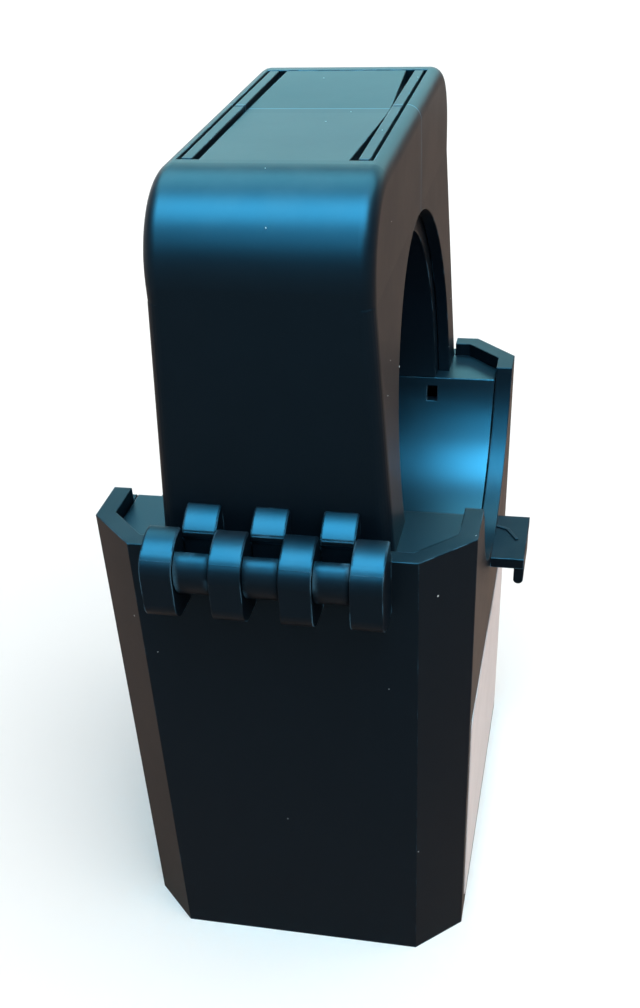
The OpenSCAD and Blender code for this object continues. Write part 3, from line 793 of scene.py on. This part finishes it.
def row_tree():
    """Repeats a mesh along X, the row centred on the frame's middle."""
    tree, start, end = new_geometry_tree(
        "hinge_row",
        [
            ("Count", "NodeSocketInt", 3),
            ("Pitch", "NodeSocketFloat", 7 * MM),
            ("Material", "NodeSocketMaterial", None),
        ],
    )
    pitch = start.outputs["Pitch"]
    gaps = math_node(tree, "SUBTRACT", start.outputs["Count"], 1.0)
    first_x = math_node(tree, "MULTIPLY", math_node(tree, "MULTIPLY", gaps, pitch), -0.5)
    first = node(tree, "ShaderNodeCombineXYZ", {0: first_x})
    step = node(tree, "ShaderNodeCombineXYZ", {0: pitch})
    row = node(
        tree,
        "GeometryNodeMeshLine",
        {
            "Count": start.outputs["Count"],
            "Start Location": first.outputs[0],
            "Offset": step.outputs[0],
        },
    )
    end_tree(tree, row.outputs[0], start.outputs["Geometry"], start, end)
    return tree


def cap_mesh(name, back, front, crown, base_z, width, edge, steps=14):
    """A cap across X whose crowned top falls from back to front, each a (y, z) place."""
    (back_y, back_z), (front_y, front_z) = back, front
    profile = []
    for step in range(steps + 1):
        part = step / steps
        y = back_y + (front_y - back_y) * part
        z = back_z + (front_z - back_z) * part + crown * 4 * part * (1 - part)
        profile.append((y, z))
    profile += [(front_y, base_z), (back_y, base_z)]
    shape = bmesh.new()
    ring = [shape.verts.new((-width / 2, y, z)) for y, z in profile]
    raise_face(shape, ring, (width, 0, 0))
    sharp_angle = math.radians(35)
    sharp = [made for made in shape.edges if made.calc_face_angle() > sharp_angle]
    bmesh.ops.bevel(shape, geom=sharp, offset=edge, segments=2, affect="EDGES")
    mesh = take_mesh(shape, name)
    mesh.shade_smooth()
    mesh.set_sharp_from_angle(angle=sharp_angle)
    return mesh


class CapHinge(bpy.types.Operator):
    """Slopes the shoulders of the hooks and the tops of the knuckles."""

    bl_idname = "transformer.cap_hinge"
    bl_label = "Cap the hinge"

    def execute(self, context):
        settings = context.scene.transformer_hinge
        wall_y = HINGE.y + settings.pin_out
        top_z = DECK_Z + settings.shoulder_h
        shoulder = cap_mesh(
            "shoulder",
            back=(wall_y + settings.shoulder_back, top_z + settings.shoulder_rise),
            front=(wall_y - settings.shoulder_out, top_z - settings.shoulder_fall),
            crown=settings.shoulder_crown,
            base_z=top_z - settings.shoulder_root,
            width=settings.hook_x,
            edge=settings.cap_edge,
        )
        knuckle = cap_mesh(
            "knuckle",
            back=(wall_y - settings.knuckle_back, HINGE.z + settings.knuckle_top),
            front=(HINGE.y - settings.knuckle_out, HINGE.z + settings.knuckle_front),
            crown=settings.knuckle_crown,
            base_z=HINGE.z + settings.knuckle_root,
            width=settings.knuckle_x,
            edge=settings.cap_edge,
        )
        tree = row_tree()
        plastic = context.scene.transformer_plastic
        finish = plastic_finish("cap_plastic", plastic, gloss=1.1)
        rows = (
            ("shoulder_caps", shoulder, settings.hooks, "arch"),
            ("knuckle_caps", knuckle, settings.hooks + 1, "case"),
        )
        for name, source, count, body in rows:
            values = {"Count": count, "Pitch": settings.pitch, "Material": finish}
            mesh = node_tree_to_mesh(name, source, tree, values)
            link_piece(name, mesh, finish, body)
        return {"FINISHED"}


class MouldArrows(bpy.types.Operator):
    """Raises a plain half arrow on each tie lug, for the direction of the current."""

    bl_idname = "transformer.mould_arrows"
    bl_label = "Mould the arrows"

    def execute(self, context):
        settings = context.scene.transformer_trim
        inner = SIDE_WALL_X + settings.mark_in
        outer = CASE_HIGH.x - settings.mark_in
        points = bpy.data.meshes.new("arrow_points")
        tips = [(x, settings.mark_y, -WINDOW_R) for x in (-outer, inner)]
        points.from_pydata(tips, [], [])
        finish = plastic_finish("arrow_plastic", context.scene.transformer_plastic, gloss=1.6)
        values = {"Height": 2 * settings.mark_t, "Material": finish}
        mesh = node_tree_to_mesh("lug_arrows", points, arrow_tree(), values)
        link_piece("lug_arrows", mesh, finish, "case")
        return {"FINISHED"}


def random_vector(tree, low, high, seed):
    """A vector between two others, new for each point."""
    return node(
        tree,
        "FunctionNodeRandomValue",
        {"Min": low, "Max": high, "Seed": seed},
        data_type="FLOAT_VECTOR",
    ).outputs[0]


def fleck_tree():
    """Small crumbs of dust scattered over the faces it is given."""
    tree, start, end = new_geometry_tree(
        "dust_flecks",
        [
            ("Density", "NodeSocketFloat", 4000.0),
            ("Size", "NodeSocketFloat", 0.12 * MM),
            ("Lump Scale", "NodeSocketFloat", 9000.0),
            ("Seed", "NodeSocketInt", 1),
            ("Material", "NodeSocketMaterial", None),
        ],
    )
    scatter = node(
        tree,
        "GeometryNodeDistributePointsOnFaces",
        {
            "Mesh": start.outputs["Geometry"],
            "Density": start.outputs["Density"],
            "Seed": start.outputs["Seed"],
        },
    )
    size = start.outputs["Size"]
    crumb = node(tree, "GeometryNodeMeshIcoSphere", {"Radius": size, "Subdivisions": 2})
    lump_scale = start.outputs["Lump Scale"]
    lumps = node(tree, "ShaderNodeTexNoise", {"Scale": lump_scale, "Detail": 1.0})
    push = node(
        tree,
        "ShaderNodeVectorMath",
        {0: tree.nodes.new("GeometryNodeInputPosition").outputs[0], 1: lumps.outputs["Color"]},
        operation="MULTIPLY",
    )
    lumpy = node(
        tree,
        "GeometryNodeSetPosition",
        {"Geometry": crumb.outputs[0], "Position": push.outputs[0]},
    )
    spin = random_vector(tree, (0, 0, 0), (math.tau, math.tau, math.tau), seed=3)
    least, most = (0.5, 0.5, 0.5), (1.8, 1.5, 1.2)
    stretch = random_vector(tree, least, most, seed=5)
    points = scatter.outputs["Points"]
    end_tree(tree, points, lumpy.outputs[0], start, end, Rotation=spin, Scale=stretch)
    return tree


def open_faces(name, reach=30 * MM):
    """The faces of a CAD node that look up or sideways with nothing close in front of them."""
    source = frame["nodes"][name].data
    points = [vertex.co.copy() for vertex in source.vertices]
    faces = [tuple(polygon.vertices) for polygon in source.polygons]
    blockers = BVHTree.FromPolygons(points, faces)
    lowest_slope, lift = -0.2, 0.05 * MM
    kept = []
    for polygon, corners in zip(source.polygons, faces):
        normal = polygon.normal
        if normal.z > lowest_slope:
            hit = blockers.ray_cast(polygon.center + normal * lift, normal, reach)
            if hit[0] is None:
                kept.append(corners)
    mesh = bpy.data.meshes.new(name + "_open_faces")
    mesh.from_pydata(points, [], kept)
    return mesh


class ScatterDust(bpy.types.Operator):
    """Leaves a few flecks of dust on the case and on the arch."""

    bl_idname = "transformer.scatter_dust"
    bl_label = "Scatter the dust"

    def execute(self, context):
        settings = context.scene.transformer_trim
        finish = smooth_finish("fleck", settings.fleck, 0.6, shade=0.7)
        tree = fleck_tree()
        dusty = (("lower_case", "case"), ("arch_cover", "arch"))
        for seed, (name, body) in enumerate(dusty, 2):
            faces = open_faces(name)
            area = sum(polygon.area for polygon in faces.polygons)
            values = {"Density": settings.flecks / area, "Seed": seed, "Material": finish}
            mesh = node_tree_to_mesh(body + "_flecks", faces, tree, values)
            link_piece(body + "_flecks", mesh, finish, body)
        return {"FINISHED"}


def rounded_outline(low, high, radius, steps=6):
    """Points round a rectangle with round corners, anticlockwise."""
    points = []
    corners = (
        (high[0] - radius, high[1] - radius, 0),
        (low[0] + radius, high[1] - radius, 90),
        (low[0] + radius, low[1] + radius, 180),
        (high[0] - radius, low[1] + radius, 270),
    )
    for x, y, start in corners:
        for step in range(steps + 1):
            angle = math.radians(start + 90 * step / steps)
            points.append((x + radius * math.cos(angle), y + radius * math.sin(angle)))
    return points


class FitLabelPlate(bpy.types.Operator):
    """Sticks a blank plate with round corners on the side wall."""

    bl_idname = "transformer.fit_label_plate"
    bl_label = "Fit the label plate"

    def execute(self, context):
        settings = context.scene.transformer_trim
        outline = rounded_outline(settings.plate_low, settings.plate_high, settings.plate_r)
        shape = bmesh.new()
        ring = [shape.verts.new((SIDE_WALL_X, y, z)) for y, z in outline]
        top = raise_face(shape, ring, (settings.plate_t, 0, 0))
        rim = [edge for edge in shape.edges if all(vert in top for vert in edge.verts)]
        edge_r = settings.plate_t * 0.4
        bmesh.ops.bevel(shape, geom=rim, offset=edge_r, segments=2, affect="EDGES")
        mesh = take_mesh(shape, "label_plate")
        finish = smooth_finish("plate_film", settings.plate, 0.35, gloss=0.45, shade=0.93)
        link_piece("label_plate", mesh, finish, "case")
        return {"FINISHED"}


class SetStage(bpy.types.Operator):
    """Puts the part on a pale floor under soft light, with the camera in front."""

    bl_idname = "transformer.set_stage"
    bl_label = "Set the stage"

    def execute(self, context):
        scene = context.scene
        settings = scene.transformer_stage
        place_camera(scene, settings)
        lay_floor(settings)
        stand_flag(settings)
        light_world(scene, settings)
        hang_lamps(settings)
        scene.view_settings.view_transform = "Standard"
        return {"FINISHED"}


def place_camera(scene, settings):
    """Stands the camera off from its aim, turned, tilted and rolled."""
    data = bpy.data.cameras.new("camera")
    data.lens = settings.lens
    data.shift_y = settings.rise
    data.clip_start = 0.01
    data.clip_end = 20.0
    camera = bpy.data.objects.new("camera", data)
    scene.collection.objects.link(camera)
    turn = Matrix.Rotation(settings.azimuth, 4, "Z")
    tilt = Matrix.Rotation(math.pi / 2 - settings.elevation, 4, "X")
    roll = Matrix.Rotation(settings.roll, 4, "Z")
    back = Matrix.Translation((0, 0, settings.distance))
    camera.matrix_world = Matrix.Translation(settings.aim) @ turn @ tilt @ roll @ back
    scene.camera = camera


def stand_in_place(name, mesh, finish, kind, values):
    """Puts a mesh in the scene with a plain finish of its own."""
    made = bpy.data.objects.new(name, mesh)
    bpy.context.scene.collection.objects.link(made)
    mesh.materials.append(end_material(new_material(finish), values, kind))
    return made


def backdrop_profile(reach, bend_r, wall_h, steps=12):
    """Radius and height along a flat floor that bends up into a low wall."""
    ground = CASE_LOW.z
    profile = [(reach - bend_r, ground)]
    for step in range(1, steps + 1):
        angle = step / steps * math.pi / 2
        radius = reach - bend_r + bend_r * math.sin(angle)
        profile.append((radius, ground + bend_r * (1 - math.cos(angle))))
    profile.append((reach, ground + bend_r + wall_h))
    return profile


def lay_floor(settings, sides=72):
    """A round floor that curves up into a backdrop all the way round."""
    shape = bmesh.new()
    turns = [math.tau * side / sides for side in range(sides)]
    rings = []
    for radius, z in backdrop_profile(reach=3.0, bend_r=1.0, wall_h=0.25):
        ring = [(radius * math.cos(turn), radius * math.sin(turn), z) for turn in turns]
        rings.append([shape.verts.new(place) for place in ring])
    shape.faces.new(rings[0])
    for inner, outer in zip(rings, rings[1:]):
        for side in range(sides):
            after = (side + 1) % sides
            shape.faces.new((inner[side], outer[side], outer[after], inner[after]))
    mesh = take_mesh(shape, "floor")
    mesh.shade_smooth()
    values = {"Base Color": rgba(settings.floor), "Roughness": 0.9, "Specular IOR Level": 0.1}
    floor = stand_in_place("floor", mesh, "floor_paper", "ShaderNodeBsdfPrincipled", values)


def rectangle(across, along):
    """Corners of a rectangle in turn, from its reach on two axes."""
    (left, right), (low, high) = across, along
    return [(left, low), (right, low), (right, high), (left, high)]


def stand_flag(settings):
    """A brown flag beyond the part and a mat under it, seen only in the part's gloss."""
    flag_y = 130 * MM
    mat_z = CASE_LOW.z + 0.2 * MM
    upright = rectangle((22 * MM, 600 * MM), (mat_z, 40 * MM))
    flat = rectangle((-400 * MM, 400 * MM), (-500 * MM, 400 * MM))
    points = [(x, flag_y, z) for x, z in upright] + [(x, y, mat_z) for x, y in flat]
    mesh = bpy.data.meshes.new("flag")
    mesh.from_pydata(points, [], [(0, 1, 2, 3), (4, 5, 6, 7)])
    values = {"Color": rgba(settings.flag)}
    flag = stand_in_place("flag", mesh, "flag_cloth", "ShaderNodeBsdfDiffuse", values)
    flag.visible_camera = False
    flag.visible_diffuse = False
    flag.visible_shadow = False


def light_world(scene, settings):
    """A plain, slightly blue surround."""
    world = bpy.data.worlds.new("studio")
    world.use_nodes = True
    tree = world.node_tree
    tree.nodes.clear()
    values = {"Color": rgba(settings.surround), "Strength": settings.surround_strength}
    background = node(tree, "ShaderNodeBackground", values)
    output = tree.nodes.new("ShaderNodeOutputWorld")
    tree.links.new(background.outputs[0], output.inputs[0])
    scene.world = world


def hang_lamp(name, kind, place, energy, colour):
    """A lamp at a place, turned to the middle of the frame."""
    data = bpy.data.lights.new(name, kind)
    data.energy = energy
    data.color = colour
    lamp = bpy.data.objects.new(name, data)
    bpy.context.scene.collection.objects.link(lamp)
    lamp.location = place
    lamp.rotation_euler = (-Vector(place)).to_track_quat("-Z", "Y").to_euler()
    return lamp


# Bright cards that only show in the gloss, in metres: name, place, watts, colour, size.
CARDS = (
    ("front_card", (0, -0.12, 0.433), 31.0, (0.14, 0.72, 1.0), (0.5, 0.23)),
    ("roof_card", (0, 0.205, 0.4), 8.0, (0.22, 0.8, 1.0), (0.6, 0.24)),
    ("window_card", (0, 0.66, 0.225), 1.4, (0.24, 0.9, 1.0), (0.8, 0.115)),
    ("channel_card", (0, -0.33, 0.3), 3.5, (0.14, 0.72, 1.0), (0.3, 0.12)),
)


def hang_lamps(settings):
    """A broad key for the whole scene, and the cards."""
    from_side = (0.32, -0.25, 1.0)
    warm = (1, 0.99, 0.97)
    key = hang_lamp("key", "SUN", from_side, settings.key_strength, warm)
    key.data.angle = settings.key_spread
    for name, place, watts, colour, size in CARDS:
        card = hang_lamp(name, "AREA", place, watts, colour)
        card.data.shape = "RECTANGLE"
        card.data.size, card.data.size_y = size
        card.visible_diffuse = False


class TransformerPanel(bpy.types.Panel):
    """Lists the dressing steps in the sidebar."""

    bl_idname = "VIEW3D_PT_transformer"
    bl_label = "Transformer"
    bl_space_type = "VIEW_3D"
    bl_region_type = "UI"
    bl_category = "Transformer"

    def draw(self, context):
        for step in STEPS:
            self.layout.operator(step.bl_idname)


SETTINGS = {
    "transformer_plastic": PlasticSettings,
    "transformer_metal": MetalSettings,
    "transformer_hinge": HingeSettings,
    "transformer_trim": TrimSettings,
    "transformer_stage": StageSettings,
}
STEPS = (
    DressMouldings,
    DressCore,
    DressCoil,
    DressHardware,
    CapHinge,
    MouldArrows,
    ScatterDust,
    FitLabelPlate,
    SetStage,
)
CLASSES = (*SETTINGS.values(), *STEPS, TransformerPanel)


def register():
    for made in CLASSES:
        bpy.utils.register_class(made)
    for name, kind in SETTINGS.items():
        setattr(bpy.types.Scene, name, PointerProperty(type=kind))


def unregister():
    for name in SETTINGS:
        delattr(bpy.types.Scene, name)
    for made in reversed(CLASSES):
        bpy.utils.unregister_class(made)


def main():
    register()
    for step in STEPS:
        area, action = step.bl_idname.split(".")
        getattr(getattr(bpy.ops, area), action)()


if __name__ == "__main__":
    main()
